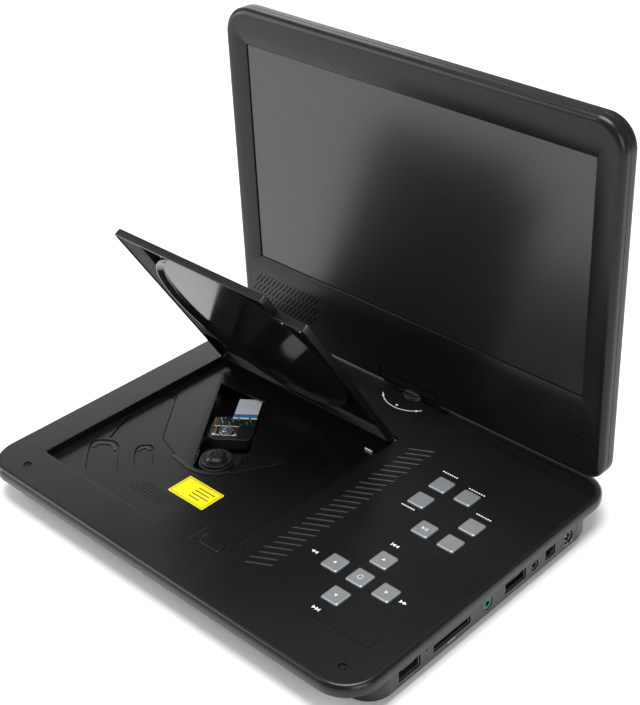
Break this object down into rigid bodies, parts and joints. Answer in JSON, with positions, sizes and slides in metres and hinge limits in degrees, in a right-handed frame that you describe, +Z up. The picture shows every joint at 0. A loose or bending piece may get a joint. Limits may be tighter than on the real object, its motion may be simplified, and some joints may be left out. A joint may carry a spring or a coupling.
{
  "type": "portable dvd player",
  "caption": "Portable disc player: a flat base with a hinged disc door, keys and side sockets, and a wide screen lid on a swivelling, tilting centre hinge",
  "frame": {"origin": "floor level under the centre of the bounding box, with the screen upright and the disc door open as stored", "axes": "+X to the socket side (the user's right), +Y to the rear where the screen stands, +Z up"},
  "size_m": [0.341, 0.258, 0.2813],
  "materials": {
    "black_shell": "satin black moulded plastic with a fine even texture",
    "black_gloss": "polished black moulded plastic",
    "screen_glass": "near-black display surface, switched off, with a soft sheen",
    "key_silver": "satin silver-painted keytop",
    "rubber_black": "soft matt rubber",
    "circuit_green": "green solder-mask board",
    "steel": "bright plain steel",
    "dark_metal": "dark coated sheet metal",
    "mech_black": "matt black moulded plastic",
    "label_yellow": "plain yellow printed film",
    "ribbon_white": "white flat flexible cable film",
    "socket_green": "green moulded socket face",
    "battery_wrap": "dark blue shrink wrap",
    "lens_blue": "polished blue-tinted moulded lens and holder"
  },
  "bodies": {
    "base": {"base_bottom_shell": "black_shell", "base_screw_front_left": "steel", "base_screw_front_right": "steel", "base_screw_rear_left": "steel", "base_screw_rear_right": "steel", "base_top_shell": "black_shell", "foot_front_left": "rubber_black", "foot_front_right": "rubber_black", "foot_rear_left": "rubber_black", "foot_rear_right": "rubber_black", "main_circuit_board": "circuit_green", "key_circuit_board": "circuit_green", "battery_pack": "battery_wrap", "mechanism_cover": "mech_black", "mechanism_chassis": "dark_metal", "spindle_motor": "dark_metal", "sled_motor": "steel", "guide_rod_left": "steel", "guide_rod_right": "steel", "plain_label": "label_yellow", "door_hinge_rod": "steel", "dc_inlet": "mech_black", "power_switch_frame": "mech_black", "av_socket": "mech_black", "video_socket": "mech_black", "headphone_socket": "socket_green", "card_slot": "mech_black", "usb_socket": "steel"},
    "swivel": {"hinge_housing": "black_shell", "swivel_post": "steel", "swivel_washer": "steel"},
    "lid": {"lid_bezel": "black_shell", "lid_back_cover": "black_shell", "display_panel": "screen_glass", "display_driver_board": "circuit_green", "speaker_left": "mech_black", "speaker_right": "mech_black", "tilt_shaft": "steel"},
    "disc_door": {"disc_door": "black_shell", "door_inner_panel": "black_gloss", "door_catch": "steel"},
    "spindle": {"spindle_hub": "mech_black"},
    "pickup": {"pickup_sled": "mech_black", "pickup_lens": "lens_blue", "pickup_circuit_board": "circuit_green", "pickup_ribbon": "ribbon_white"},
    "lead_screw": {"lead_screw": "steel"},
    "power_switch": {"power_switch_knob": "black_gloss"},
    "release_button": {"door_release_button": "black_shell"},
    "key_function_1": {"key_function_1": "key_silver"},
    "key_function_2": {"key_function_2": "key_silver"},
    "key_function_3": {"key_function_3": "key_silver"},
    "key_function_4": {"key_function_4": "key_silver"},
    "key_function_5": {"key_function_5": "key_silver"},
    "key_function_6": {"key_function_6": "key_silver"},
    "key_nav_centre": {"key_nav_centre": "key_silver"},
    "key_nav_down": {"key_nav_down": "key_silver"},
    "key_nav_left": {"key_nav_left": "key_silver"},
    "key_nav_right": {"key_nav_right": "key_silver"},
    "key_nav_up": {"key_nav_up": "key_silver"}
  },
  "joints": [
    {"name": "swivel", "type": "hinge", "parent": "base", "child": "swivel", "pos_m": [0, 0.1195, 0.027], "axis": [0, 0, 1], "range_deg": [-50, 15]},
    {"name": "lid_tilt", "type": "hinge", "parent": "swivel", "child": "lid", "pos_m": [0, 0.1195, 0.0374], "axis": [-1, 0, 0], "range_deg": [-90, 35]},
    {"name": "disc_door_hinge", "type": "hinge", "parent": "base", "child": "disc_door", "pos_m": [0, 0.0674, 0.0255], "axis": [-1, 0, 0], "range_deg": [-58.7, 25]},
    {"name": "spindle_spin", "type": "hinge", "parent": "base", "child": "spindle", "pos_m": [-0.056, -0.022, 0.021], "axis": [0, 0, 1], "continuous": true},
    {"name": "pickup_travel", "type": "slide", "parent": "base", "child": "pickup", "axis": [-0.6018, 0.7986, 0], "range_m": [-0.0115, 0.0225]},
    {"name": "lead_screw_spin", "type": "hinge", "parent": "base", "child": "lead_screw", "pos_m": [-0.02885, -0.00154, 0.014], "axis": [-0.6018, 0.7986, 0], "range_deg": [-620, 1205]},
    {"name": "power_switch_slide", "type": "slide", "parent": "base", "child": "power_switch", "axis": [0, -1, 0], "range_m": [0, 0.003]},
    {"name": "release_button_press", "type": "slide", "parent": "base", "child": "release_button", "axis": [0, 0, -1], "range_m": [0, 0.001], "stiffness_N_per_m": 1500, "springref_m": -0.0004},
    {"name": "key_function_1_press", "type": "slide", "parent": "base", "child": "key_function_1", "axis": [0, 0, -1], "range_m": [0, 0.0008], "stiffness_N_per_m": 1200, "springref_m": -0.0004},
    {"name": "key_function_2_press", "type": "slide", "parent": "base", "child": "key_function_2", "axis": [0, 0, -1], "range_m": [0, 0.0008], "stiffness_N_per_m": 1200, "springref_m": -0.0004},
    {"name": "key_function_3_press", "type": "slide", "parent": "base", "child": "key_function_3", "axis": [0, 0, -1], "range_m": [0, 0.0008], "stiffness_N_per_m": 1200, "springref_m": -0.0004},
    {"name": "key_function_4_press", "type": "slide", "parent": "base", "child": "key_function_4", "axis": [0, 0, -1], "range_m": [0, 0.0008], "stiffness_N_per_m": 1200, "springref_m": -0.0004},
    {"name": "key_function_5_press", "type": "slide", "parent": "base", "child": "key_function_5", "axis": [0, 0, -1], "range_m": [0, 0.0008], "stiffness_N_per_m": 1200, "springref_m": -0.0004},
    {"name": "key_function_6_press", "type": "slide", "parent": "base", "child": "key_function_6", "axis": [0, 0, -1], "range_m": [0, 0.0008], "stiffness_N_per_m": 1200, "springref_m": -0.0004},
    {"name": "key_nav_centre_press", "type": "slide", "parent": "base", "child": "key_nav_centre", "axis": [0, 0, -1], "range_m": [0, 0.0008], "stiffness_N_per_m": 1200, "springref_m": -0.0004},
    {"name": "key_nav_down_press", "type": "slide", "parent": "base", "child": "key_nav_down", "axis": [0, 0, -1], "range_m": [0, 0.0008], "stiffness_N_per_m": 1200, "springref_m": -0.0004},
    {"name": "key_nav_left_press", "type": "slide", "parent": "base", "child": "key_nav_left", "axis": [0, 0, -1], "range_m": [0, 0.0008], "stiffness_N_per_m": 1200, "springref_m": -0.0004},
    {"name": "key_nav_right_press", "type": "slide", "parent": "base", "child": "key_nav_right", "axis": [0, 0, -1], "range_m": [0, 0.0008], "stiffness_N_per_m": 1200, "springref_m": -0.0004},
    {"name": "key_nav_up_press", "type": "slide", "parent": "base", "child": "key_nav_up", "axis": [0, 0, -1], "range_m": [0, 0.0008], "stiffness_N_per_m": 1200, "springref_m": -0.0004}
  ],
  "couplings": [
    {"joint": "disc_door_hinge", "follows": "lid_tilt", "ratio": 0.6522},
    {"joint": "lead_screw_spin", "follows": "pickup_travel", "rad_per_m": 930.8}
  ]
}
